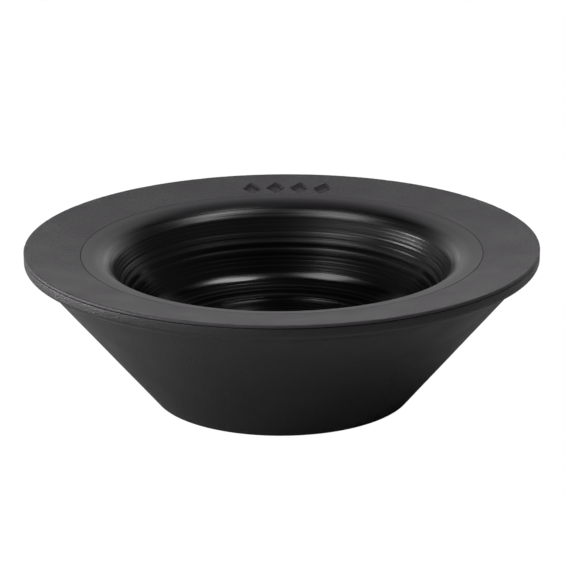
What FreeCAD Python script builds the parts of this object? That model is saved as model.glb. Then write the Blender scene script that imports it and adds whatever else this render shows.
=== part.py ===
import FreeCAD, Part
import math
import os
import Sketcher

# A double-walled bowl for mixing hair colour.  A conical outer shell carries a broad,
# slightly dished rim deck, and a turned liner drops into the deck and forms the hollow.
# Everything is a ring about the Z axis: the origin is the centre of the face that the
# foot ring stands on, +Z goes up through the mouth, and a small mark is at +Y.

SIZES = {
    # Outer shell
    "RimRadius": 90.0,  # outermost radius of the rim band
    "ShellHeight": 55.0,  # from the shell's underside to the top edge of the rim
    "BaseRadius": 45.0,  # where the cone would meet the underside
    "ShellWall": 3.0,
    "BaseThick": 3.0,
    "BaseRound": 1.4,
    "BandHeight": 4.6,  # upright band under the top edge
    "BandStep": 2.75,  # how far the band stands out from the cone
    "BandRound": 1.0,
    "NeckRound": 0.9,
    "PedestalInset": 6.0,  # its top, inwards from the edge of the liner's floor disc
    "PedestalStand": 13.0,  # its foot, inwards from the base's edge
    "PedestalWall": 2.5,
    "RibThick": 2.0,
    "RibGap": 3.0,  # from the ribs' tops up to the liner's floor
    "RibSink": 1.0,  # the ribs' edges run this far into the base and the cone
    "RecessInset": 3.0,
    "RecessDepth": 0.6,
    # Foot ring
    "FootProud": 0.4,  # how far the ring holds the shell off the table
    "FootInset": 3.5,
    "FootWidth": 4.5,
    "FootSeat": 1.4,  # depth of its groove
    # Rim deck
    "DeckWidth": 19.7,  # from the rim to the seam around the liner
    "DeckFall": 2.6,  # the deck slopes inwards
    "DeckThick": 2.6,
    "DeckEdge": 1.0,  # thickness of its outer lip, over the shell
    "EdgeRound": 0.45,
    "PlugInset": 7.2,  # the deck is full thickness inwards from here
    "WeldInset": 2.4,
    "WeldWidth": 0.9,
    "WeldDepth": 0.7,
    "LedgeWidth": 5.0,
    "LedgeThick": 2.0,
    # Seal
    "SealInset": 1.3,
    "SealWidth": 2.2,
    "SealThick": 0.9,
    # Liner
    "SeamGap": 0.1,
    "FlangeThick": 2.2,
    "LinerWall": 2.0,
    "BrowWidth": 4.0,  # from the seam to where the lip starts to roll over
    "BrowDrop": 0.55,
    "BrowRound": 20.0,
    "LipWidth": 5.75,
    "LipDrop": 1.85,
    "LipRound": 9.3,
    "ThroatRun": 3.45,  # steep upper wall
    "ThroatDrop": 7.1,
    "ThroatRound": 20.0,
    "WallRun": 11.4,  # sloping lower wall
    "HollowDepth": 33.1,  # from the rim's top edge to the floor disc
    "FloorRise": 4.4,  # the foot of the wall above the floor disc
    "FloorRound": 2.0,
    "AnnulusWidth": 6.9,
    "FloorStep": 0.7,
    "ScoreDepth": 17.9,  # turned line around the wall
    "ScoreWidth": 0.6,
    "ScoreCut": 0.3,
    "SpigotWall": 1.5,
    "SpigotDrop": 5.7,
    "SpigotGap": 0.2,
    "SnapReach": 0.55,
    "SnapHeight": 1.3,
    # Mark
    "MarkInset": 8.1,
    "MarkHeight": 10.8,
    "MarkWidth": 7.2,
    "MarkPitch": 8.8,
    "MarkDepth": 0.8,
}
MARK_COUNT = 4
MARK_LEAD = 0.3  # the mark's cut starts this far above the deck


class Size:
    """A length that carries its number and the spreadsheet expression that gives it."""

    def __init__(self, number, text=None):
        self.number = number
        self.text = text or repr(number)

    def joined(self, other, sign, number):
        return Size(number, f"({self.text} {sign} {as_size(other).text})")

    def __add__(self, other):
        return self.joined(other, "+", self.number + as_size(other).number)

    def __sub__(self, other):
        return self.joined(other, "-", self.number - as_size(other).number)

    def __mul__(self, other):
        return self.joined(other, "*", self.number * as_size(other).number)

    def __truediv__(self, other):
        return self.joined(other, "/", self.number / as_size(other).number)


def as_size(value):
    return value if isinstance(value, Size) else Size(float(value))


doc = FreeCAD.newDocument("ColourBowl")
sheet = doc.addObject("Spreadsheet::Sheet", "Dims")
size = {}
for row, (alias, number) in enumerate(SIZES.items(), start=1):
    sheet.set(f"A{row}", alias)
    sheet.set(f"B{row}", str(number))
    sheet.setAlias(f"B{row}", alias)
    size[alias] = Size(number, f"Dims.{alias}")
doc.recompute()
ORIGIN = (-1, 1)
UPRIGHT_AXIS = -2
LEVEL_AXIS = -1


# ---- sketch and feature helpers ----------------------------------------------------


def new_body(name):
    body = doc.addObject("PartDesign::Body", name)
    body.Label = name
    return body


def new_sketch(body, name, role="XZ_Plane"):
    plane = next(p for p in body.Origin.OriginFeatures if p.Role == role)
    sketch = body.newObject("Sketcher::SketchObject", name)
    sketch.AttachmentSupport = [(plane, "")]
    sketch.MapMode = "FlatFace"
    return sketch


def bind(sketch, kind, *where, to):
    """Add one dimension to the sketch and tie it to the sheet."""
    index = sketch.addConstraint(Sketcher.Constraint(kind, *where, to.number))
    sketch.setExpression(f"Constraints[{index}]", to.text)


def pin_point(sketch, line, end, corner):
    """Hold one end of a line at a corner given as (across, up)."""
    across, up = corner
    for axis, kind, length in ((UPRIGHT_AXIS, "DistanceX", across), (LEVEL_AXIS, "DistanceY", up)):
        if abs(length.number) < 1e-9:
            sketch.addConstraint(Sketcher.Constraint("PointOnObject", line, end, axis))
        else:
            bind(sketch, kind, *ORIGIN, line, end, to=length)


def draw_lines(sketch, points):
    """Lines from point to point, joined end to end.  Returns their numbers."""
    first = sketch.GeometryCount
    for start, end in zip(points, points[1:]):
        sketch.addGeometry(Part.LineSegment(start, end), False)
    lines = list(range(first, sketch.GeometryCount))
    for before, after in zip(lines, lines[1:]):
        sketch.addConstraint(Sketcher.Constraint("Coincident", before, 2, after, 1))
    return lines


def flat(corner):
    return FreeCAD.Vector(corner[0].number, corner[1].number, 0)


def draw_chain(sketch, corners):
    """An open chain of lines whose every corner is tied to the sheet."""
    corners = [tuple(as_size(value) for value in corner) for corner in corners]
    lines = draw_lines(sketch, [flat(corner) for corner in corners])
    pin_point(sketch, lines[0], 1, corners[0])
    for line, corner in zip(lines, corners[1:]):
        pin_point(sketch, line, 2, corner)
    return lines


def draw_bend(sketch, before, corner, after, radius):
    """A line into a corner and a line out of it, with a round between.  Returns the lines."""
    start, knee, end = flat(before), flat(corner), flat(after)
    enter = (knee - start).normalize()
    leave = (end - knee).normalize()
    turn = enter.cross(leave).z
    reach = radius.number * abs(turn) / (1 + enter.dot(leave))
    first = knee - enter * reach
    last = knee + leave * reach
    aside = FreeCAD.Vector(-enter.y, enter.x, 0) * math.copysign(radius.number, turn)
    centre = first + aside
    angles = [math.atan2((place - centre).y, (place - centre).x) for place in (first, last)]
    ends = (1, 2)
    if turn < 0:
        angles.reverse()
        ends = (2, 1)
    into = draw_lines(sketch, [start, first])[0]
    out = draw_lines(sketch, [last, end])[0]
    circle = Part.Circle(centre, FreeCAD.Vector(0, 0, 1), radius.number)
    sketch.addGeometry(Part.ArcOfCircle(circle, *angles), False)
    arc = sketch.GeometryCount - 1
    sketch.addGeometry(Part.Point(knee), True)
    point = sketch.GeometryCount - 1
    pin_point(sketch, point, 1, corner)
    sketch.addConstraint(Sketcher.Constraint("PointOnObject", point, 1, into))
    sketch.addConstraint(Sketcher.Constraint("PointOnObject", point, 1, out))
    bind(sketch, "Radius", arc, to=radius)
    sketch.addConstraint(Sketcher.Constraint("Tangent", into, 2, arc, ends[0]))
    sketch.addConstraint(Sketcher.Constraint("Tangent", out, 1, arc, ends[1]))
    return into, out


def draw_outline(sketch, corners):
    """A closed outline whose every corner is tied to the sheet."""
    corners = [tuple(as_size(value) for value in corner) for corner in corners]
    lines = draw_lines(sketch, [flat(corner) for corner in corners + corners[:1]])
    sketch.addConstraint(Sketcher.Constraint("Coincident", lines[-1], 2, lines[0], 1))
    for line, corner in zip(lines, corners):
        pin_point(sketch, line, 1, corner)
    return lines


def crossing(point_a, along_a, point_b, along_b):
    """Where two lines in the sketch plane meet."""
    apart = point_b - point_a
    turn = along_a.x * along_b.y - along_a.y * along_b.x
    return point_a + along_a * ((apart.x * along_b.y - apart.y * along_b.x) / turn)


def draw_offset(sketch, lines, wall):
    """Lines parallel to a chain, one wall thickness to its left, in the same order."""
    tracks = []
    for line in lines:
        edge = sketch.Geometry[line]
        along = (edge.EndPoint - edge.StartPoint).normalize()
        aside = FreeCAD.Vector(-along.y, along.x, 0) * wall.number
        tracks.append((edge.StartPoint + aside, along, edge.EndPoint + aside))
    points = [tracks[0][0]]
    for before, after in zip(tracks, tracks[1:]):
        points.append(crossing(before[0], before[1], after[0], after[1]))
    points.append(tracks[-1][2])
    copies = draw_lines(sketch, points)
    for line, copy in zip(lines, copies):
        sketch.addConstraint(Sketcher.Constraint("Parallel", line, copy))
        bind(sketch, "Distance", copy, 1, line, to=wall)
    return copies


def revolve(body, sketch):
    turned = body.newObject("PartDesign::Revolution", sketch.Name + "Turned")
    turned.Profile = sketch
    turned.ReferenceAxis = (sketch, ["V_Axis"])
    turned.Angle = 360
    sketch.Visibility = False
    doc.recompute()
    return turned


def round_rings(body, name, radius, corners):
    """Fillet the circular edges that pass through the given corners of the section."""
    base = body.Tip
    edges = []
    for number, edge in enumerate(base.Shape.Edges, start=1):
        if not isinstance(edge.Curve, Part.Circle):
            continue
        ring = (edge.Curve.Radius, edge.Curve.Center.z)
        if any(math.dist(ring, corner) < 1e-4 for corner in corners):
            edges.append(f"Edge{number}")
    if len(edges) != len(corners):
        raise RuntimeError(f"{name}: {len(edges)} edges for {len(corners)} corners")
    fillet = body.newObject("PartDesign::Fillet", name)
    fillet.Base = (base, edges)
    fillet.setExpression("Radius", radius.text)
    doc.recompute()


def pair(corner):
    return tuple(as_size(value).number for value in corner)


def cut_checked(body, feature):
    """A cut that removes nothing shows no error, so its volume is compared."""
    doc.recompute()
    base = feature.BaseFeature
    if feature.Shape.Volume > base.Shape.Volume - 1e-3:
        raise RuntimeError(f"{feature.Name} cuts nothing")


# ---- places that more than one piece uses ------------------------------------------

under = size["FootProud"]
top = under + size["ShellHeight"]
rim = size["RimRadius"]
seam = rim - size["DeckWidth"]
deck_slope = size["DeckFall"] / size["DeckWidth"]
ledge_top = top - size["DeckFall"] - size["FlangeThick"]
ledge_inner = seam - size["LedgeWidth"]
seal_outer = seam - size["SealInset"]
seal_inner = seal_outer - size["SealWidth"]
weld_outer = rim - size["WeldInset"]
weld_inner = weld_outer - size["WeldWidth"]
foot_outer = size["BaseRadius"] - size["FootInset"]
foot_inner = foot_outer - size["FootWidth"]
floor_top = top - size["HollowDepth"]
floor_under = floor_top - size["LinerWall"]

# Section of the hollow, from the seam down to the middle of the floor.
flange_outer = seam - size["SeamGap"]
brow = (flange_outer - size["BrowWidth"], top - size["DeckFall"] - size["BrowDrop"])
lip = (brow[0] - size["LipWidth"], brow[1] - size["LipDrop"])
throat = (lip[0] - size["ThroatRun"], lip[1] - size["ThroatDrop"])
wall_foot = (throat[0] - size["WallRun"], floor_top + size["FloorRise"])
floor_rim = (wall_foot[0] - size["AnnulusWidth"], floor_top + size["FloorStep"])
floor_edge = (floor_rim[0] - size["FloorStep"], floor_top)


def deck_height(radius, below):
    """Height of a line parallel to the deck's top, this far below it."""
    return top - below - (rim - radius) * deck_slope


def neck():
    """The cone meets the underside of the band here."""
    return rim - size["BandStep"], top - size["BandHeight"]


def cone_slope():
    return (neck()[0] - size["BaseRadius"]) / (neck()[1] - under)


# ---- the pieces --------------------------------------------------------------------


def make_outer_shell():
    """The cone, its base and the rim band, with a pedestal and ribs under the liner."""
    body = new_body("outer_shell")
    sketch = new_sketch(body, "ShellSection")
    recess = foot_inner - size["RecessInset"]
    base_top = under + size["BaseThick"]
    outside = draw_chain(
        sketch,
        [
            (0, under + size["RecessDepth"]),
            (recess, under + size["RecessDepth"]),
            (recess, under),
            (foot_inner, under),
            (foot_inner, under + size["FootSeat"]),
            (foot_outer, under + size["FootSeat"]),
            (foot_outer, under),
            (size["BaseRadius"], under),
            neck(),
            (rim, neck()[1]),
            (rim, deck_height(rim, size["DeckEdge"])),
            (weld_outer, deck_height(weld_outer, size["DeckEdge"])),
            (weld_outer, deck_height(weld_outer, size["DeckEdge"] + size["WeldDepth"])),
            (weld_inner, deck_height(weld_inner, size["DeckEdge"] + size["WeldDepth"])),
            (weld_inner, deck_height(weld_inner, size["DeckEdge"])),
        ],
    )
    cone = outside[7]
    weld_side = outside[10]

    # The inside: along the shoulder to the inner face of the cone, then down to the base.
    pedestal_outer = floor_edge[0] - size["PedestalInset"]
    pedestal_inner = pedestal_outer - size["PedestalWall"]
    stand_outer = size["BaseRadius"] - size["PedestalStand"]
    stand_inner = stand_outer - size["PedestalWall"]
    cone_run = cone_slope()
    inner_low = size["BaseRadius"] - size["ShellWall"] + cone_run * size["BaseThick"]
    inner_high = neck()[0] - size["ShellWall"]
    start = sketch.Geometry[outside[-1]].EndPoint
    inside = draw_lines(
        sketch,
        [
            start,
            FreeCAD.Vector(inner_high.number, deck_height(inner_high, size["DeckEdge"]).number, 0),
            FreeCAD.Vector(inner_low.number, base_top.number, 0),
            flat((stand_outer, base_top)),
            flat((pedestal_outer, floor_under)),
            flat((pedestal_inner, floor_under)),
            flat((stand_inner, base_top)),
            flat((as_size(0), base_top)),
            flat((as_size(0), under + size["RecessDepth"])),
        ],
    )
    sketch.addConstraint(Sketcher.Constraint("Coincident", outside[-1], 2, inside[0], 1))
    sketch.addConstraint(Sketcher.Constraint("Coincident", inside[-1], 2, outside[0], 1))
    sketch.addConstraint(Sketcher.Constraint("Parallel", weld_side, inside[0]))
    sketch.addConstraint(Sketcher.Constraint("Parallel", cone, inside[1]))
    bind(sketch, "Distance", inside[1], 1, cone, to=size["ShellWall"])
    sketch.addConstraint(Sketcher.Constraint("Horizontal", inside[2]))
    pin_point(sketch, inside[2], 2, (stand_outer, base_top))
    pin_point(sketch, inside[3], 2, (pedestal_outer, floor_under))
    pin_point(sketch, inside[4], 2, (pedestal_inner, floor_under))
    pin_point(sketch, inside[5], 2, (stand_inner, base_top))
    pin_point(sketch, inside[6], 2, (as_size(0), base_top))
    revolve(body, sketch)

    round_rings(body, "ShellBaseRound", size["BaseRound"], [pair((size["BaseRadius"], under))])
    round_rings(body, "ShellBandRound", size["BandRound"], [pair((rim, neck()[1]))])
    round_rings(body, "ShellNeckRound", size["NeckRound"], [pair(neck())])

    # Six upright ribs tie the pedestal to the cone.
    ribs = new_sketch(body, "ShellRib")
    rib_top = floor_under - size["RibGap"]
    low = base_top - size["RibSink"]
    lean = (pedestal_outer - stand_outer) / (floor_under - base_top)
    root = stand_outer - size["PedestalWall"] / 2
    middle = size["ShellWall"] - size["RibSink"]
    draw_outline(
        ribs,
        [
            (root + lean * (low - base_top), low),
            (size["BaseRadius"] + (low - under) * cone_run - middle, low),
            (size["BaseRadius"] + (rib_top - under) * cone_run - middle, rib_top),
            (root + lean * (rib_top - base_top), rib_top),
        ],
    )
    pad = body.newObject("PartDesign::Pad", "ShellRibPad")
    pad.Profile = ribs
    pad.setExpression("Length", size["RibThick"].text)
    pad.SideType = "Symmetric"
    ribs.Visibility = False
    doc.recompute()
    ring = body.newObject("PartDesign::PolarPattern", "ShellRibs")
    ring.Originals = [pad]
    ring.Axis = (next(a for a in body.Origin.OriginFeatures if a.Role == "Z_Axis"), [""])
    ring.Angle = 360
    ring.Occurrences = 6
    body.Tip = ring
    doc.recompute()
    return body


def make_rim_deck():
    """The dished ring around the mouth, welded to the shell, with the liner's ledge."""
    body = new_body("rim_deck")
    sketch = new_sketch(body, "DeckSection")
    plug = rim - size["PlugInset"]
    lip_under = size["DeckEdge"]
    ledge_under = ledge_top - size["LedgeThick"]
    draw_outline(
        sketch,
        [
            (seam, top - size["DeckFall"]),
            (rim, top),
            (rim, deck_height(rim, lip_under)),
            (weld_outer, deck_height(weld_outer, lip_under)),
            (weld_outer, deck_height(weld_outer, lip_under + size["WeldDepth"])),
            (weld_inner, deck_height(weld_inner, lip_under + size["WeldDepth"])),
            (weld_inner, deck_height(weld_inner, lip_under)),
            (plug, deck_height(plug, lip_under)),
            (plug, deck_height(plug, size["DeckThick"])),
            (seam + size["LedgeThick"], deck_height(seam + size["LedgeThick"], size["DeckThick"])),
            (seam + size["LedgeThick"], ledge_under),
            (ledge_inner, ledge_under),
            (ledge_inner, ledge_top),
            (seal_inner, ledge_top),
            (seal_inner, ledge_top - size["SealThick"]),
            (seal_outer, ledge_top - size["SealThick"]),
            (seal_outer, ledge_top),
            (seam, ledge_top),
        ],
    )
    revolve(body, sketch)
    round_rings(body, "DeckEdgeRound", size["EdgeRound"], [pair((rim, top))])
    cut_mark(body)
    return body


def mark_sketch(body, name, place):
    """A sketch lying on the deck, its corner at one sign's lower left."""
    sketch = new_sketch(body, name, "XY_Plane")
    middle = (MARK_COUNT - 1) / 2
    radius = rim - size["MarkInset"] - size["MarkHeight"] / 2
    turn = math.degrees((place - middle) * size["MarkPitch"].number / radius.number)
    tilt = math.degrees(math.atan(deck_slope.number))
    face = FreeCAD.Placement(
        FreeCAD.Vector(0, radius.number, deck_height(radius, 0).number),
        FreeCAD.Rotation(FreeCAD.Vector(1, 0, 0), tilt),
    )
    corner = FreeCAD.Vector(-size["MarkWidth"].number / 2, -size["MarkHeight"].number / 2, MARK_LEAD)
    spin = FreeCAD.Placement(FreeCAD.Vector(), FreeCAD.Rotation(FreeCAD.Vector(0, 0, 1), -turn))
    sketch.AttachmentOffset = spin * face * FreeCAD.Placement(corner, FreeCAD.Rotation())
    return sketch


def draw_lozenge(sketch):
    """A plain lozenge, as wide and as high as one sign."""
    middle = size["MarkWidth"] / 2
    waist = size["MarkHeight"] / 2
    corners = [(middle, 0), (size["MarkWidth"], waist), (middle, size["MarkHeight"]), (0, waist)]
    draw_outline(sketch, corners)


def cut_mark(body):
    """A row of plain lozenges, sunk to one depth into the sloping deck."""
    for place in range(MARK_COUNT):
        sketch = mark_sketch(body, f"MarkSign{place + 1}", place)
        draw_lozenge(sketch)
        doc.recompute()
        pocket = body.newObject("PartDesign::Pocket", f"MarkCut{place + 1}")
        pocket.Profile = sketch
        pocket.setExpression("Length", (size["MarkDepth"] + MARK_LEAD).text)
        sketch.Visibility = False
        cut_checked(body, pocket)


def make_bowl_liner():
    """The turned hollow: flange, rolled lip, wall and floor, with a snap-in spigot."""
    body = new_body("bowl_liner")
    sketch = new_sketch(body, "LinerSection")
    flange_top = (flange_outer, top - size["DeckFall"])
    upper = draw_chain(sketch, [(flange_outer, ledge_top), flange_top, brow, lip])
    bend = draw_bend(sketch, lip, throat, wall_foot, size["ThroatRound"])
    lower = draw_chain(sketch, [wall_foot, floor_rim, floor_edge, (0, floor_top)])
    sketch.addConstraint(Sketcher.Constraint("Coincident", upper[-1], 2, bend[0], 1))
    sketch.addConstraint(Sketcher.Constraint("Coincident", bend[1], 2, lower[0], 1))
    inside = [*upper, *bend, *lower]
    # The back follows the inside from the lip to the middle of the floor.
    back = draw_offset(sketch, inside[2:], size["LinerWall"])
    sketch.addConstraint(Sketcher.Constraint("PointOnObject", back[-1], 2, UPRIGHT_AXIS))

    # The spigot passes through the ledge and its bead catches underneath.
    spigot_outer = ledge_inner - size["SpigotGap"]
    spigot_inner = spigot_outer - size["SpigotWall"]
    spigot_end = ledge_top - size["SpigotDrop"]
    snap_top = ledge_top - size["LedgeThick"] - size["SpigotGap"]
    snap_reach = spigot_outer + size["SnapReach"]
    spigot = draw_chain(
        sketch,
        [
            (spigot_inner, spigot_end),
            (spigot_outer, spigot_end),
            (spigot_outer, snap_top - size["SnapHeight"]),
            (snap_reach, snap_top - size["SnapReach"]),
            (snap_reach, snap_top),
            (spigot_outer, snap_top),
            (spigot_outer, ledge_top),
        ],
    )
    bind(sketch, "DistanceX", *ORIGIN, back[0], 1, to=spigot_inner)
    middle = sketch.Geometry[back[-1]].EndPoint
    axis = draw_lines(sketch, [middle, flat((as_size(0), floor_top))])[0]
    sketch.addConstraint(Sketcher.Constraint("Coincident", back[-1], 2, axis, 1))
    sketch.addConstraint(Sketcher.Constraint("Coincident", axis, 2, inside[-1], 2))
    root = sketch.Geometry[back[0]].StartPoint
    side = draw_lines(sketch, [root, flat((spigot_inner, spigot_end))])[0]
    sketch.addConstraint(Sketcher.Constraint("Coincident", back[0], 1, side, 1))
    sketch.addConstraint(Sketcher.Constraint("Coincident", side, 2, spigot[0], 1))
    shelf = draw_lines(sketch, [flat((spigot_outer, ledge_top)), flat((flange_outer, ledge_top))])[0]
    sketch.addConstraint(Sketcher.Constraint("Coincident", spigot[-1], 2, shelf, 1))
    sketch.addConstraint(Sketcher.Constraint("Coincident", shelf, 2, inside[0], 1))
    revolve(body, sketch)

    round_rings(body, "LinerLipRound", size["LipRound"], [pair(lip)])
    round_rings(body, "LinerBrowRound", size["BrowRound"], [pair(brow)])
    round_rings(body, "LinerFloorRound", size["FloorRound"], [pair(wall_foot)])
    cut_score(body)
    return body


def cut_score(body):
    """One fine turned line around the wall, which marks a full mix."""
    sketch = new_sketch(body, "LinerScore")
    run = size["WallRun"] / (throat[1] - wall_foot[1])
    height = top - size["ScoreDepth"]
    half = size["ScoreWidth"] / 2

    def wall_radius(at):
        return wall_foot[0] + (at - wall_foot[1]) * run

    draw_outline(
        sketch,
        [
            (wall_radius(height + half) - size["ScoreCut"], height + half),
            (wall_radius(height) + size["ScoreCut"], height),
            (wall_radius(height - half) - size["ScoreCut"], height - half),
        ],
    )
    groove = body.newObject("PartDesign::Groove", "LinerScoreCut")
    groove.Profile = sketch
    groove.ReferenceAxis = (sketch, ["V_Axis"])
    groove.Angle = 360
    sketch.Visibility = False
    cut_checked(body, groove)


def make_ring(name, inner, outer, low, high):
    """A plain ring of rectangular section."""
    body = new_body(name)
    sketch = new_sketch(body, name.title().replace("_", "") + "Section")
    draw_outline(sketch, [(inner, low), (outer, low), (outer, high), (inner, high)])
    revolve(body, sketch)
    return body


def check_and_write(bodies):
    """Stop if anything failed, then write each piece to a file with its own name."""
    doc.recompute()
    for item in doc.Objects:
        if "Invalid" in item.State or "Error" in item.State:
            raise RuntimeError(f"{item.Name} failed: {item.State}")
    os.makedirs("parts", exist_ok=True)
    for body in bodies:
        shape = body.Shape
        if shape.isNull() or not shape.isValid() or len(shape.Solids) != 1:
            raise RuntimeError(f"{body.Label} isn't one valid solid")
        shape.exportStep(f"parts/{body.Label}.step")
        print(f"{body.Label}: {shape.Volume / 1000:.1f} cm3")


check_and_write(
    [
        make_outer_shell(),
        make_rim_deck(),
        make_bowl_liner(),
        # A flat silicone ring that the liner's flange presses into the ledge.
        make_ring("liner_seal", seal_inner, seal_outer, ledge_top - size["SealThick"], ledge_top),
        # A soft ring that grips the table.
        make_ring("foot_ring", foot_inner, foot_outer, as_size(0), under + size["FootSeat"]),
    ]
)
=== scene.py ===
import math

import bpy
import numpy as np
from mathutils import Matrix, Vector


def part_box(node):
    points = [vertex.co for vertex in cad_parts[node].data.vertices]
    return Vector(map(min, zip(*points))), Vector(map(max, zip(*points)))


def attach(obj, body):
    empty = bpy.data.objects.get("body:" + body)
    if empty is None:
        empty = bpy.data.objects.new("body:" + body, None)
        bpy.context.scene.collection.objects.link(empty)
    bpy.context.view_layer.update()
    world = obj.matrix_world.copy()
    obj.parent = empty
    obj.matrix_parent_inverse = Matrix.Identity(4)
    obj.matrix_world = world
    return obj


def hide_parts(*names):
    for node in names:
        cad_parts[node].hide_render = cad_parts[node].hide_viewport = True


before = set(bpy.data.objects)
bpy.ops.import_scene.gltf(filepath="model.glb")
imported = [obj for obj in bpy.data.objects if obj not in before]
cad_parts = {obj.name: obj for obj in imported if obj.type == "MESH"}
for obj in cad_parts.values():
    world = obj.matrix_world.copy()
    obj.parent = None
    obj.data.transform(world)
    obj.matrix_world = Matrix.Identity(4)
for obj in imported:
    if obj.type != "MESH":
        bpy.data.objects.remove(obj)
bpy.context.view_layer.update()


# ---- Outer shell ----
# The cone that the hand holds, moulded in matte black plastic with a fine grain.  It
# stands on a small flat base, and an upright band runs round its top, under the rim deck.
# The deck is welded onto its shoulder, which closes the double wall.

MM = 0.001
CLEAR = 0.02 * MM                 # the new skins stay this far inside the frame's pieces
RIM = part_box("outer_shell")[1].x
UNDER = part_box("outer_shell")[0].z
RIM_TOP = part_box("rim_deck")[1].z
BASE_RADIUS = 45.0 * MM
BASE_THICK = 3.0 * MM
BASE_RECESS = 0.6 * MM            # the middle of the underside is hollowed by this much
SHELL_WALL = 3.0 * MM
FOOT_WIDE = 4.5 * MM              # width of the foot ring and of its groove
BAND_LOW = RIM_TOP - 4.54 * MM
BAND_STEP = 2.75 * MM
FLARE_DROP = 2.8 * MM             # the cone starts to flare into the band this far below it
DECK_RISE = 2.6 / 19.7            # the deck's rise over its width, and the shoulder's
DECK_EDGE = 1.05 * MM             # thickness of the deck at its outer edge
JOINT = RIM_TOP - DECK_EDGE       # height of the weld line on the outside
SHADOW_GAP = 0.12 * MM
SHOULDER_WIDE = 5.0 * MM
SHELL_SPOKES = 400                # points in each row round the shell


def arc_corner(before, corner, after, radius, steps):
    """One corner of an outline, rounded: points at equal turns on the circle of this radius
    that touches both sides of the corner."""
    before, corner, after = (np.array(p, float) for p in (before, corner, after))
    back = (before - corner) / np.linalg.norm(before - corner)
    on = (after - corner) / np.linalg.norm(after - corner)
    half = math.acos(np.clip(back @ on, -1, 1)) / 2
    middle = (back + on) / np.linalg.norm(back + on)
    centre = corner + middle * radius / math.sin(half)
    start = corner + back * radius / math.tan(half) - centre
    cross = start[0] * middle[1] - start[1] * middle[0]
    turn = math.copysign(math.pi - 2 * half, -cross)
    angle = np.linspace(0, turn, steps)[:, None]
    side = np.array([-start[1], start[0]])
    return centre + start * np.cos(angle) + side * np.sin(angle)


def section(corners, closed, step):
    """The outline of a turned piece from its corners, each (radius, height, rounding, steps),
    with the straight stretches divided evenly so that no two points are further apart than
    step."""
    points = [np.array(c[:2], float) for c in corners]
    runs = []
    for at, (rounding, steps) in enumerate(c[2:] for c in corners):
        if rounding:
            after = points[(at + 1) % len(points)]
            runs.append(arc_corner(points[at - 1], points[at], after, rounding, steps))
        else:
            runs.append(points[at][None, :])
    line = np.vstack(runs + ([runs[0][:1]] if closed else []))
    gaps = np.linalg.norm(np.diff(line, axis=0), axis=1)
    parts = np.maximum(1, np.ceil(gaps / step)).astype(int)
    cells = [
        a + (b - a) * np.linspace(0, 1, n, endpoint=False)[:, None]
        for a, b, n in zip(line, line[1:], parts)
    ]
    return np.vstack(cells + ([] if closed else [line[-1:]]))


def turned_mesh(name, radius, height, angle, closed):
    """A closed skin on a grid: row i is one point of the outline carried round the Z axis
    through every angle, so x = radius cos(angle) and y = radius sin(angle).  A closed
    outline joins its last row to its first; an open one starts and ends on the axis, where
    each end row becomes a single pole point."""
    rows, columns = radius.shape
    x, y = radius * np.cos(angle), radius * np.sin(angle)
    grid = np.stack([x, y, height], axis=-1)
    number = np.arange(rows * columns).reshape(rows, columns)
    ahead = np.roll(number, -1, axis=1)
    if closed:
        low, high = number, np.roll(number, -1, axis=0)
        low_ahead, high_ahead = ahead, np.roll(ahead, -1, axis=0)
        points = grid.reshape(-1, 3)
        caps = []
    else:
        low, high = number[1:-2], number[2:-1]
        low_ahead, high_ahead = ahead[1:-2], ahead[2:-1]
        points = grid.reshape(-1, 3)[columns - 1 : rows * columns - columns + 1]
        shift = columns - 1
        low, high, low_ahead, high_ahead = (n - shift for n in (low, high, low_ahead, high_ahead))
        first, last = number[1] - shift, number[-2] - shift
        start, end = np.zeros(columns, int), np.full(columns, len(points) - 1)
        caps = [
            np.stack([start, np.roll(first, -1), first], axis=-1),
            np.stack([last, np.roll(last, -1), end], axis=-1),
        ]
    quads = np.stack([low, low_ahead, high_ahead, high], axis=-1).reshape(-1, 4)
    faces = quads.tolist() + [row for cap in caps for row in cap.tolist()]
    mesh = bpy.data.meshes.new(name)
    mesh.from_pydata(points.tolist(), [], faces)
    mesh.polygons.foreach_set("use_smooth", np.ones(len(mesh.polygons), bool))
    mesh.update()
    piece = bpy.data.objects.new(name, mesh)
    bpy.context.scene.collection.objects.link(piece)
    return piece


def path_length(line):
    """Distance from the outline's first point to each of its points."""
    return np.concatenate([[0.0], np.cumsum(np.linalg.norm(np.diff(line, axis=0), axis=1))])


def ripple(along, angle, period, seed):
    """Smooth uneven waviness between about -1 and 1: six sines whose lengths spread round
    the period, each with a phase that drifts slowly round the piece.  Their sum seldom
    passes 3.2, so it is divided by that."""
    draw = np.random.default_rng(seed)
    total = np.zeros(np.broadcast(along, angle).shape)
    for number in range(6):
        stretch = draw.uniform(0.55, 1.9)
        drift = draw.integers(1, 4)
        sway = draw.uniform(0.2, 1.1) * np.sin(drift * angle + draw.uniform(0, 2 * np.pi))
        total += np.sin(2 * np.pi * along / (period * stretch) + sway + draw.uniform(0, 2 * np.pi))
    return total / 3.2


def socket(node, name, value):
    """Sets one input of a node by its name."""
    node.inputs[name].default_value = value


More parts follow.
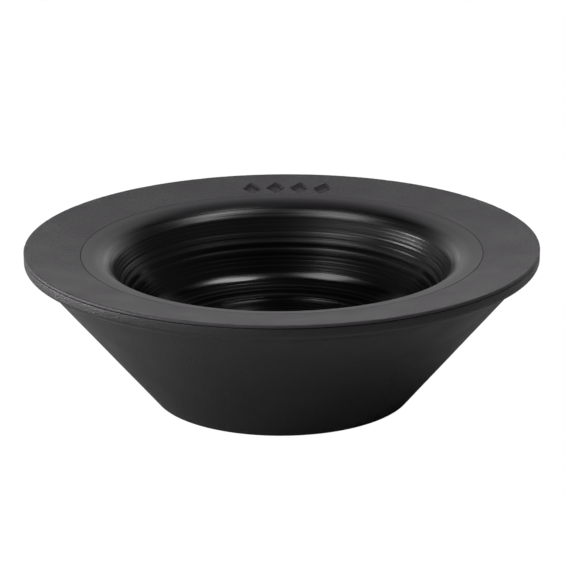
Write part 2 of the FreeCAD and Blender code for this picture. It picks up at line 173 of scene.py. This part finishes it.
def grained_plastic(name, colour, roughness, grain, relief):
    """Matte moulded plastic: a spark-eroded grain of fine round pits over a broad, faint
    mottle, which also varies the tint and the roughness."""
    material = bpy.data.materials.new(name)
    material.use_nodes = True
    nodes, links = material.node_tree.nodes, material.node_tree.links
    shader = nodes["Principled BSDF"]
    place = nodes.new("ShaderNodeTexCoord")
    socket(shader, "Specular IOR Level", 0.5)

    mottle = nodes.new("ShaderNodeTexNoise")
    socket(mottle, "Scale", 70.0)
    socket(mottle, "Detail", 5.0)
    links.new(place.outputs["Object"], mottle.inputs["Vector"])
    tint = nodes.new("ShaderNodeMapRange")
    socket(tint, "From Min", 0.3)
    socket(tint, "From Max", 0.7)
    mix = nodes.new("ShaderNodeMix")
    mix.data_type = "RGBA"
    mix.inputs["A"].default_value = (*[c * 0.8 for c in colour], 1)
    mix.inputs["B"].default_value = (*[c * 1.25 for c in colour], 1)
    links.new(mottle.outputs["Fac"], tint.inputs["Value"])
    links.new(tint.outputs["Result"], mix.inputs["Factor"])
    links.new(mix.outputs["Result"], shader.inputs["Base Color"])

    pits = nodes.new("ShaderNodeTexNoise")
    socket(pits, "Scale", grain)
    socket(pits, "Detail", 3.0)
    socket(pits, "Roughness", 0.6)
    links.new(place.outputs["Object"], pits.inputs["Vector"])
    gloss = nodes.new("ShaderNodeMapRange")
    socket(gloss, "From Min", 0.3)
    socket(gloss, "From Max", 0.7)
    socket(gloss, "To Min", roughness - 0.06)
    socket(gloss, "To Max", roughness + 0.06)
    links.new(mottle.outputs["Fac"], gloss.inputs["Value"])
    links.new(gloss.outputs["Result"], shader.inputs["Roughness"])
    bump = nodes.new("ShaderNodeBump")
    socket(bump, "Strength", 1.0)
    socket(bump, "Distance", relief)
    links.new(pits.outputs["Fac"], bump.inputs["Height"])
    links.new(bump.outputs["Normal"], shader.inputs["Normal"])
    return material


def dress(piece, material, slot, *nodes):
    """Gives a new piece its finish and its place in the frame."""
    piece.data.materials.append(material)
    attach(piece, "root")
    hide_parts(*nodes)


cone_top = (RIM - BAND_STEP, BAND_LOW)
cone_lean = (cone_top[0] - BASE_RADIUS) / (BAND_LOW - UNDER)
wall_across = SHELL_WALL * math.sqrt(1 + cone_lean**2)
foot_low, foot_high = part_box("foot_ring")
foot_outer = foot_high.x
foot_inner = foot_outer - FOOT_WIDE
groove_top = foot_high.z
base_top = UNDER + BASE_THICK
shoulder = JOINT - SHADOW_GAP
shell_corners = [
    (0, UNDER + BASE_RECESS, 0, 0),
    (foot_inner - 3 * MM, UNDER + BASE_RECESS, 0.2 * MM, 4),
    (foot_inner - 2.6 * MM, UNDER, 0.2 * MM, 4),
    (foot_inner, UNDER, 0.1 * MM, 3),
    (foot_inner, groove_top, 0, 0),
    (foot_outer, groove_top, 0, 0),
    (foot_outer, UNDER, 0.1 * MM, 3),
    (BASE_RADIUS, UNDER, 1.4 * MM, 14),
    (cone_top[0] - cone_lean * FLARE_DROP, BAND_LOW - FLARE_DROP, 3.0 * MM, 10),
    (RIM - CLEAR, BAND_LOW, 1.5 * MM, 12),
    (RIM - CLEAR, shoulder, 0.22 * MM, 6),
    (RIM - SHOULDER_WIDE, shoulder - SHOULDER_WIDE * DECK_RISE, 0, 0),
    (BASE_RADIUS - wall_across + cone_lean * BASE_THICK, base_top, 2 * MM, 6),
    (0, base_top, 0, 0),
]
outline = section(shell_corners, False, 1.3 * MM)
angle = np.linspace(0, 2 * np.pi, SHELL_SPOKES, endpoint=False)
along = path_length(outline)[:, None] + 0 * angle
shell_radius = outline[:, :1] + 0 * angle
shell_height = outline[:, 1:] + 0 * angle
# The moulding has sunk a few hundredths of a millimetre here and there as it cooled.  This
# fades out from 8 to 2 mm above the underside.
on_cone = np.clip((shell_height - UNDER - 2 * MM) / (6 * MM), 0, 1) * (outline[:, :1] > BASE_RADIUS)
shell_radius = shell_radius - 0.02 * MM * on_cone * (1 + ripple(along, angle, 31 * MM, 3))
shell = turned_mesh("shell_moulding", shell_radius, shell_height, angle, False)
shell_plastic = grained_plastic("shell_matte_black", (0.0045, 0.0038, 0.0043), 0.44, 1500, 0.00022)
dress(shell, shell_plastic, "shell_plastic", "outer_shell")


# ---- Rim deck ----
# The broad ring round the mouth, a separate moulding in the same matte plastic, dished a
# little towards the hollow.  It is welded to the shell's shoulder, which leaves a fine
# joint and a few specks of flash at the edge.  A plain row of lozenges is sunk at +Y.

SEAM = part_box("bowl_liner")[1].x
SEAM_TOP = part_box("bowl_liner")[1].z
DECK_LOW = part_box("rim_deck")[0].z
EDGE_HIGH = RIM_TOP + 0.06 * MM   # height of the deck's slope where it meets the rim
LEDGE_INNER = SEAM - 4.9 * MM
LEDGE_TOP = SEAM_TOP - 2.2 * MM
DECK_THICK = 2.6 * MM
EDGE_ROUND = 0.45 * MM
MARK_INSET = 8.1 * MM
MARK_COUNT = 4
MARK_HALF = math.radians(14.5)    # the rows are finely divided this far round from +Y
LOZENGE_HIGH = 10.8 * MM
LOZENGE_WIDE = 7.2 * MM
LOZENGE_PITCH = 8.8 * MM
LOZENGE_DEPTH = 0.8 * MM
LOZENGE_LEAN = 0.16 * MM          # width of the sloping sides
MARK_ROWS = 66
MARK_SPOKES = 200                 # points in each row where the lozenges are
PLAIN_SPOKES = 420                # points in the rest of the row


def smooth_step(value):
    """0 below 0, 1 above 1 and 3 v squared - 2 v cubed between."""
    value = np.clip(value, 0, 1)
    return value * value * (3 - 2 * value)


def mark_depth(radius, angle):
    """How deep the lozenges are sunk at each point of the deck.  A point across and up from
    a lozenge's middle lies (1 - |across| / half width - |up| / half height) x span inside
    its nearest side, where span is the distance from the middle to a side."""
    half_wide, half_high = LOZENGE_WIDE / 2, LOZENGE_HIGH / 2
    span = half_wide * half_high / math.hypot(half_wide, half_high)
    middle = RIM - MARK_INSET - half_high
    sunk = np.zeros(np.broadcast(radius, angle).shape)
    for place in range(MARK_COUNT):
        turn = math.pi / 2 - (place - (MARK_COUNT - 1) / 2) * LOZENGE_PITCH / middle
        across = np.abs(radius * np.sin(turn - angle)) / half_wide
        up = np.abs(radius * np.cos(turn - angle) - middle) / half_high
        inside = (1 - across - up) * span
        sunk = np.maximum(sunk, smooth_step(0.5 + inside / LOZENGE_LEAN))
    return sunk * LOZENGE_DEPTH


def deck_line(across, below):
    """Height of the deck's slope at this radius, or of a line this far below it.  It meets
    the rim a little above the top, because the edge is rounded."""
    return EDGE_HIGH - below - (RIM - across) * DECK_RISE


weld_inner = RIM - 7.2 * MM
skirt = SEAM + 2 * MM
deck_corners = [
    (SEAM + 0.15 * MM, LEDGE_TOP, 0, 0),
    (LEDGE_INNER, LEDGE_TOP, 0, 0),
    (LEDGE_INNER, DECK_LOW, 0.2 * MM, 3),
    (skirt, DECK_LOW, 0.2 * MM, 3),
    (skirt, deck_line(skirt, DECK_THICK), 0, 0),
    (weld_inner, deck_line(weld_inner, DECK_THICK), 0, 0),
    (weld_inner, deck_line(weld_inner, DECK_EDGE), 0, 0),
    (RIM - CLEAR, deck_line(RIM, DECK_EDGE), 0.12 * MM, 5),
    (RIM - CLEAR, deck_line(RIM, 0), EDGE_ROUND, 12),
]
under_line = section(deck_corners + [(SEAM + 0.1 * MM, deck_line(SEAM, 0), 0, 0)], False, 1.0 * MM)
edge_end = int(np.argmax(under_line[:, 1])) + 3
mark_low = RIM - MARK_INSET - LOZENGE_HIGH - 0.5 * MM
mark_high = RIM - MARK_INSET + 0.5 * MM
top_radius = np.concatenate(
    [
        np.linspace(under_line[edge_end, 0], mark_high, 9, endpoint=False)[1:],
        np.linspace(mark_high, mark_low, MARK_ROWS, endpoint=False),
        np.linspace(mark_low, SEAM + 0.22 * MM, 4, endpoint=False),
    ]
)
top_line = np.stack([top_radius, deck_line(top_radius, 0)], axis=-1)
seam_fall = np.array(
    [
        (SEAM + 0.22 * MM, deck_line(SEAM + 0.22 * MM, 0)),
        (SEAM + 0.16 * MM, deck_line(SEAM, 0.04 * MM)),
        (SEAM + 0.12 * MM, deck_line(SEAM, 0.12 * MM)),
    ]
)
outline = np.vstack([under_line[: edge_end + 1], top_line, seam_fall])
mark_start, mark_end = math.pi / 2 - MARK_HALF, math.pi / 2 + MARK_HALF
fine = np.linspace(mark_start, mark_end, MARK_SPOKES, endpoint=False)
coarse = np.linspace(mark_end, 2.5 * math.pi - MARK_HALF, PLAIN_SPOKES, endpoint=False)
angle = np.concatenate([fine, coarse])
deck_radius = outline[:, :1] + 0 * angle
deck_height = outline[:, 1:] + 0 * angle
facing_up = (np.arange(len(outline)) > edge_end)[:, None]
deck_height = deck_height - mark_depth(deck_radius, angle) * facing_up
# Flash left by the mould's parting line: short nicks of uneven depth round the top edge.
nick = np.random.default_rng(5).random(angle.size) ** 5
on_edge = ((outline[:, 0] > RIM - 0.5 * MM) & (outline[:, 1] > RIM_TOP - 0.5 * MM))[:, None]
deck_radius = deck_radius - 0.07 * MM * nick * on_edge
deck_height = deck_height - 0.03 * MM * nick * on_edge
deck = turned_mesh("rim_deck_moulding", deck_radius, deck_height, angle, True)
deck_plastic = grained_plastic("deck_matte_black", (0.024, 0.0208, 0.0243), 0.47, 1500, 0.00030)
dress(deck, deck_plastic, "deck_plastic", "rim_deck")


# ---- Bowl liner ----
# The hollow that holds the colour, turned from black plastic.  Its flange lies flush in the
# deck's rebate, matte as the deck is, and rolls over a lip into the wall.  The tool leaves
# fine rings, satin on the lip and upper wall and polished below, down to the scored floor.

LINER_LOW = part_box("bowl_liner")[0].z
LINER_WALL = 2.0 * MM
FLOOR_TOP = LINER_LOW + LINER_WALL
BROW = (SEAM - 4.0 * MM, SEAM_TOP - 0.55 * MM)
LIP = (BROW[0] - 5.75 * MM, BROW[1] - 1.85 * MM)
THROAT = (LIP[0] - 3.45 * MM, LIP[1] - 7.1 * MM)
WALL_FOOT = (THROAT[0] - 11.4 * MM, FLOOR_TOP + 4.4 * MM)
FLOOR_RIM = (WALL_FOOT[0] - 6.9 * MM, FLOOR_TOP + 0.7 * MM)
FLOOR_EDGE = (FLOOR_RIM[0] - 0.7 * MM, FLOOR_TOP)
SPIGOT = SEAM - 6.6 * MM
POLISH_TOP = 39.5 * MM            # satin above, polished below
SCORE_HEIGHT = EDGE_HIGH - 17.9 * MM
RING_WAVE = 1.9 * MM              # length of the shallow waves down the wall
FLOOR_WAVE = 4.6 * MM             # pitch of the low rings on the floor
BROAD_RINGS = 620.0               # rings to the metre: the tool's passes
FINE_RINGS = 2600.0               # rings to the metre: the polishing inside each pass
LINER_SPOKES = 310                # points in each row round the liner
liner_corners = [
    (0, LINER_LOW, 0, 0),
    (FLOOR_EDGE[0] + 1 * MM, LINER_LOW, 1 * MM, 4),
    (WALL_FOOT[0] + 1.4 * MM, WALL_FOOT[1] - 1.5 * MM, 2 * MM, 5),
    (LIP[0] + 1.4 * MM, LIP[1] - 1.6 * MM, 1 * MM, 5),
    (SPIGOT, LEDGE_TOP - 0.6 * MM, 0, 0),
    (SPIGOT, LEDGE_TOP - 5.7 * MM, 0.2 * MM, 3),
    (SPIGOT + 1.5 * MM, LEDGE_TOP - 5.7 * MM, 0.2 * MM, 3),
    (SPIGOT + 1.5 * MM, LEDGE_TOP, 0, 0),
    (SEAM - CLEAR, LEDGE_TOP, 0, 0),
    (SEAM - CLEAR, SEAM_TOP, 0.12 * MM, 5),
]
face_corners = [
    (SEAM - CLEAR, SEAM_TOP, 0.12 * MM, 5),
    (*BROW, 20 * MM, 16),
    (*LIP, 9.3 * MM, 40),
    (*THROAT, 20 * MM, 14),
    (WALL_FOOT[0] + 2.3 * MM, WALL_FOOT[1] + 1.2 * MM, 8.6 * MM, 18),
    (*WALL_FOOT, 0, 0),
    (*FLOOR_RIM, 0.15 * MM, 4),
    (FLOOR_EDGE[0] + 0.3 * MM, FLOOR_TOP, 0.15 * MM, 4),
    (0, FLOOR_TOP, 0, 0),
]
# The hidden back is divided coarsely and the face finely; they join at the flange's edge.
back_line = section(liner_corners + [(*BROW, 0, 0)], False, 1.5 * MM)[:-1]
whole = section(liner_corners[:-1] + face_corners, False, 0.34 * MM)
back_end = int(np.argmax(back_line[:, 1] > SEAM_TOP - 0.05 * MM))
face = whole[int(np.argmax(whole[:, 1] > SEAM_TOP - 0.05 * MM)) :]
on_disc = face[:, 0] < FLOOR_EDGE[0] - 1 * MM
face = face[~on_disc | (np.arange(len(face)) % 3 == 0) | (np.arange(len(face)) == len(face) - 1)]
outline = np.vstack([back_line[:back_end], face])
angle = np.linspace(0, 2 * np.pi, LINER_SPOKES, endpoint=False)
along = (path_length(outline) - path_length(outline)[back_end])[:, None] + 0 * angle
liner_radius = outline[:, :1] + 0 * angle
liner_height = outline[:, 1:] + 0 * angle
# Shallow waves that the tool leaves on the wall, deeper on the satin part, then the score
# round the wall and the bead at its foot.
on_face = (np.arange(len(outline)) >= back_end)[:, None]
satin = smooth_step((liner_height - POLISH_TOP) / (0.4 * MM))
on_wall = on_face * smooth_step((LIP[1] + 1 * MM - liner_height) / (2 * MM))
on_wall = on_wall * smooth_step((liner_height - WALL_FOOT[1]) / (2 * MM))
waves = ripple(along, angle, RING_WAVE, 11)
score = np.exp(-(((liner_height - SCORE_HEIGHT) / (0.28 * MM)) ** 2))
liner_radius = liner_radius + on_wall * (0.008 + 0.018 * satin) * MM * waves
liner_radius = liner_radius + on_wall * 0.05 * MM * score
bead = np.exp(-(((liner_radius - WALL_FOOT[0]) / (0.3 * MM)) ** 2))
liner_height = liner_height + on_face * 0.09 * MM * bead
# Low turned rings on the floor disc.
on_floor = on_face * (liner_radius < FLOOR_EDGE[0] - 2 * MM) * (liner_radius > 2 * MM)
rings = np.sin(2 * np.pi * liner_radius / FLOOR_WAVE)
liner_height = liner_height - on_floor * 0.03 * MM * (1 + rings)
liner = turned_mesh("liner_turned", liner_radius, liner_height, angle, False)
# Each point keeps its distance along the outline, in metres, one value for each pole.
at_points = along.reshape(-1)[LINER_SPOKES - 1 : along.size - LINER_SPOKES + 1]
kept = liner.data.attributes.new("along", "FLOAT", "POINT")
kept.data.foreach_set("value", at_points.astype(np.float32))


def turned_plastic(name):
    """Turned black plastic.  Fine rings follow the distance along the outline; above the
    polish line the finish is satin and a shade lighter, below it glossy.  From the lip up to
    the brow it turns matte and nearly as pale as the deck."""
    material = bpy.data.materials.new(name)
    material.use_nodes = True
    nodes, links = material.node_tree.nodes, material.node_tree.links
    shader = nodes["Principled BSDF"]
    socket(shader, "Specular IOR Level", 0.5)
    kept = nodes.new("ShaderNodeAttribute")
    kept.attribute_name = "along"
    place = nodes.new("ShaderNodeTexCoord")
    split = nodes.new("ShaderNodeSeparateXYZ")
    links.new(place.outputs["Object"], split.inputs["Vector"])
    satin = nodes.new("ShaderNodeMapRange")
    socket(satin, "From Min", POLISH_TOP - 0.1 * MM)
    socket(satin, "From Max", POLISH_TOP + 0.1 * MM)
    links.new(split.outputs["Z"], satin.inputs["Value"])

    def rings(scale, detail):
        """Uneven rings: noise along one line, the outline of the section."""
        noise = nodes.new("ShaderNodeTexNoise")
        noise.noise_dimensions = "1D"
        socket(noise, "Scale", scale)
        socket(noise, "Detail", detail)
        links.new(kept.outputs["Fac"], noise.inputs["W"])
        return noise.outputs["Fac"]

    def blend(low, high, amount):
        """Low where the amount is 0, high where it is 1."""
        ranged = nodes.new("ShaderNodeMapRange")
        for name, value in (("To Min", low), ("To Max", high)):
            if isinstance(value, float):
                socket(ranged, name, value)
            else:
                links.new(value, ranged.inputs[name])
        links.new(amount, ranged.inputs["Value"])
        return ranged.outputs["Result"]

    broad = rings(BROAD_RINGS, 2.0)
    fine = rings(FINE_RINGS, 3.0)
    polished = blend(0.02, 0.42, broad)
    scuffed = blend(0.16, 0.44, broad)
    brow = nodes.new("ShaderNodeMapRange")
    socket(brow, "From Min", LIP[1] + 0.2 * MM)
    socket(brow, "From Max", BROW[1])
    links.new(split.outputs["Z"], brow.inputs["Value"])
    turned = blend(polished, scuffed, satin.outputs["Result"])
    links.new(blend(turned, 0.46, brow.outputs["Result"]), shader.inputs["Roughness"])

    tint = nodes.new("ShaderNodeMix")
    tint.data_type = "RGBA"
    tint.inputs["A"].default_value = (0.0015, 0.0014, 0.0017, 1)
    tint.inputs["B"].default_value = (0.0035, 0.0032, 0.0033, 1)
    links.new(blend(0.0, broad, satin.outputs["Result"]), tint.inputs["Factor"])
    matte = nodes.new("ShaderNodeMix")
    matte.data_type = "RGBA"
    matte.inputs["B"].default_value = (0.02, 0.0173, 0.0203, 1)
    links.new(brow.outputs["Result"], matte.inputs["Factor"])
    links.new(tint.outputs["Result"], matte.inputs["A"])
    links.new(matte.outputs["Result"], shader.inputs["Base Color"])

    coarse_bump = nodes.new("ShaderNodeBump")
    socket(coarse_bump, "Distance", 0.00009)
    turned_marks = blend(0.55, 1.0, satin.outputs["Result"])
    links.new(blend(turned_marks, 0.15, brow.outputs["Result"]), coarse_bump.inputs["Strength"])
    links.new(broad, coarse_bump.inputs["Height"])
    fine_bump = nodes.new("ShaderNodeBump")
    socket(fine_bump, "Distance", 0.000006)
    socket(fine_bump, "Strength", 0.6)
    links.new(fine, fine_bump.inputs["Height"])
    links.new(coarse_bump.outputs["Normal"], fine_bump.inputs["Normal"])
    links.new(fine_bump.outputs["Normal"], shader.inputs["Normal"])
    return material


dress(liner, turned_plastic("liner_turned_black"), "liner_plastic", "bowl_liner")


# ---- Liner seal ----
# A flat ring of dark silicone, cut from sheet.  It is squeezed between the liner's flange
# and the deck's ledge, out of sight, and keeps colour out of the double wall.

silicone = grained_plastic("seal_silicone", (0.09, 0.09, 0.09), 0.6, 1800, 0.00003)
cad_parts["liner_seal"].data.materials.clear()
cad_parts["liner_seal"].data.materials.append(silicone)


# ---- Foot ring ----
# A soft rubber ring pushed into the groove under the base, which stands a little proud of
# it so that the bowl doesn't slide.

FOOT_SPOKES = 240                 # points in each row round the ring
foot_corners = [
    (foot_inner + 0.05 * MM, foot_low.z, 0.15 * MM, 4),
    (foot_outer - CLEAR, foot_low.z, 0.15 * MM, 4),
    (foot_outer - CLEAR, groove_top - 0.01 * MM, 0, 0),
    (foot_inner + 0.05 * MM, groove_top - 0.01 * MM, 0, 0),
]
outline = section(foot_corners, True, 0.5 * MM)
angle = np.linspace(0, 2 * np.pi, FOOT_SPOKES, endpoint=False)
foot_radius = outline[:, :1] + 0 * angle
foot_height = outline[:, 1:] + 0 * angle
foot = turned_mesh("foot_ring_rubber", foot_radius, foot_height, angle, True)
foot_rubber = grained_plastic("foot_rubber_black", (0.02, 0.02, 0.02), 0.7, 1500, 0.00005)
dress(foot, foot_rubber, "foot_rubber", "foot_ring")


# ---- Studio ----
# A pale sweep, two soft boxes overhead with a gap between them, a panel at the front left
# and a low one at the left, and pale walls that reach part of the way up.

floor_mesh = bpy.data.meshes.new("floor")
reach = 6.0
low = -0.02 * MM
floor_corners = [(-reach, -reach, low), (reach, -reach, low), (reach, reach, low), (-reach, reach, low)]
floor_mesh.from_pydata(floor_corners, [], [(0, 1, 2, 3)])
floor = bpy.data.objects.new("floor", floor_mesh)
bpy.context.scene.collection.objects.link(floor)
pale = bpy.data.materials.new("pale_floor")
pale.use_nodes = True
nodes, links = pale.node_tree.nodes, pale.node_tree.links
socket(nodes["Principled BSDF"], "Base Color", (0.66, 0.66, 0.66, 1))
socket(nodes["Principled BSDF"], "Roughness", 0.9)
# Seen directly, the sweep is overexposed; in reflections it keeps its own brightness.
seen = nodes.new("ShaderNodeLightPath")
share = nodes.new("ShaderNodeMath")
share.operation = "MULTIPLY"
share.inputs[1].default_value = 0.97
glow = nodes.new("ShaderNodeEmission")
socket(glow, "Strength", 1.03)
over = nodes.new("ShaderNodeMixShader")
links.new(seen.outputs["Is Camera Ray"], share.inputs[0])
links.new(share.outputs[0], over.inputs["Fac"])
links.new(nodes["Principled BSDF"].outputs["BSDF"], over.inputs[1])
links.new(glow.outputs["Emission"], over.inputs[2])
links.new(over.outputs["Shader"], nodes["Material Output"].inputs["Surface"])
floor_mesh.materials.append(pale)


def aim(thing, at):
    """Turns a light or the camera so that it looks at this place."""
    direction = thing.location - at
    thing.rotation_mode = "QUATERNION"
    thing.rotation_quaternion = direction.to_track_quat("Z", "Y")


def soft_box(name, place, wide, deep, radiance):
    """A soft box of even brightness, aimed at the bowl: its power is its radiance times pi
    times its area."""
    light = bpy.data.lights.new(name, "AREA")
    light.shape = "RECTANGLE"
    light.size = wide
    light.size_y = deep
    light.energy = radiance * math.pi * wide * deep
    light.color = (1, 0.98, 1)
    box = bpy.data.objects.new(name, light)
    bpy.context.scene.collection.objects.link(box)
    box.location = place
    box.visible_camera = False
    aim(box, Vector((0, 0, 0.04)))


soft_box("soft_box_left", (-0.43, -0.25, 0.93), 0.46, 0.46, 5.6)
soft_box("soft_box_right", (0.42, -0.02, 0.98), 0.32, 0.44, 8.5)
soft_box("panel_front_left", (-0.76, -0.76, 0.30), 0.80, 0.22, 7.0)
soft_box("panel_low_left", (-1.20, 0.10, 0.16), 0.60, 0.28, 26.0)

world = bpy.data.worlds.new("studio")
bpy.context.scene.world = world
world.use_nodes = True
nodes, links = world.node_tree.nodes, world.node_tree.links
coords = nodes.new("ShaderNodeTexCoord")
split = nodes.new("ShaderNodeSeparateXYZ")
links.new(coords.outputs["Generated"], split.inputs["Vector"])
walls = nodes.new("ShaderNodeValToRGB")
walls.color_ramp.elements[0].position = 0.45
walls.color_ramp.elements[0].color = (0.95, 0.95, 0.95, 1)
walls.color_ramp.elements[1].position = 0.68
walls.color_ramp.elements[1].color = (0.02, 0.02, 0.02, 1)
links.new(split.outputs["Z"], walls.inputs["Fac"])
# The wall behind the bowl is lit and the side towards the camera stays dark.
behind = nodes.new("ShaderNodeMapRange")
socket(behind, "From Min", 0.5)
socket(behind, "From Max", 0.9)
socket(behind, "To Min", 0.08)
links.new(split.outputs["Y"], behind.inputs["Value"])
lit = nodes.new("ShaderNodeMix")
lit.data_type = "RGBA"
lit.blend_type = "MULTIPLY"
lit.inputs["Factor"].default_value = 1.0
links.new(walls.outputs["Color"], lit.inputs["A"])
links.new(behind.outputs["Result"], lit.inputs["B"])
seen = nodes.new("ShaderNodeLightPath")
pick = nodes.new("ShaderNodeMix")
pick.data_type = "RGBA"
pick.inputs["B"].default_value = (1, 1, 1, 1)
links.new(seen.outputs["Is Camera Ray"], pick.inputs["Factor"])
links.new(lit.outputs["Result"], pick.inputs["A"])
links.new(pick.outputs["Result"], nodes["Background"].inputs["Color"])

camera_data = bpy.data.cameras.new("camera")
camera_data.lens = 180
camera_data.sensor_width = 36
camera = bpy.data.objects.new("camera", camera_data)
bpy.context.scene.collection.objects.link(camera)
elevation = math.radians(17.8)
swing = math.radians(1.8)
distance = 0.99
target = Vector((0, 0, EDGE_HIGH - 14.3 * MM))
camera.location = target + distance * Vector(
    (math.sin(swing) * math.cos(elevation), -math.cos(swing) * math.cos(elevation), math.sin(elevation))
)
aim(camera, target)
roll = Matrix.Rotation(math.radians(-0.43), 3, "Z").to_quaternion()
camera.rotation_quaternion = camera.rotation_quaternion @ roll
bpy.context.scene.camera = camera
bpy.context.scene.view_settings.view_transform = "Standard"
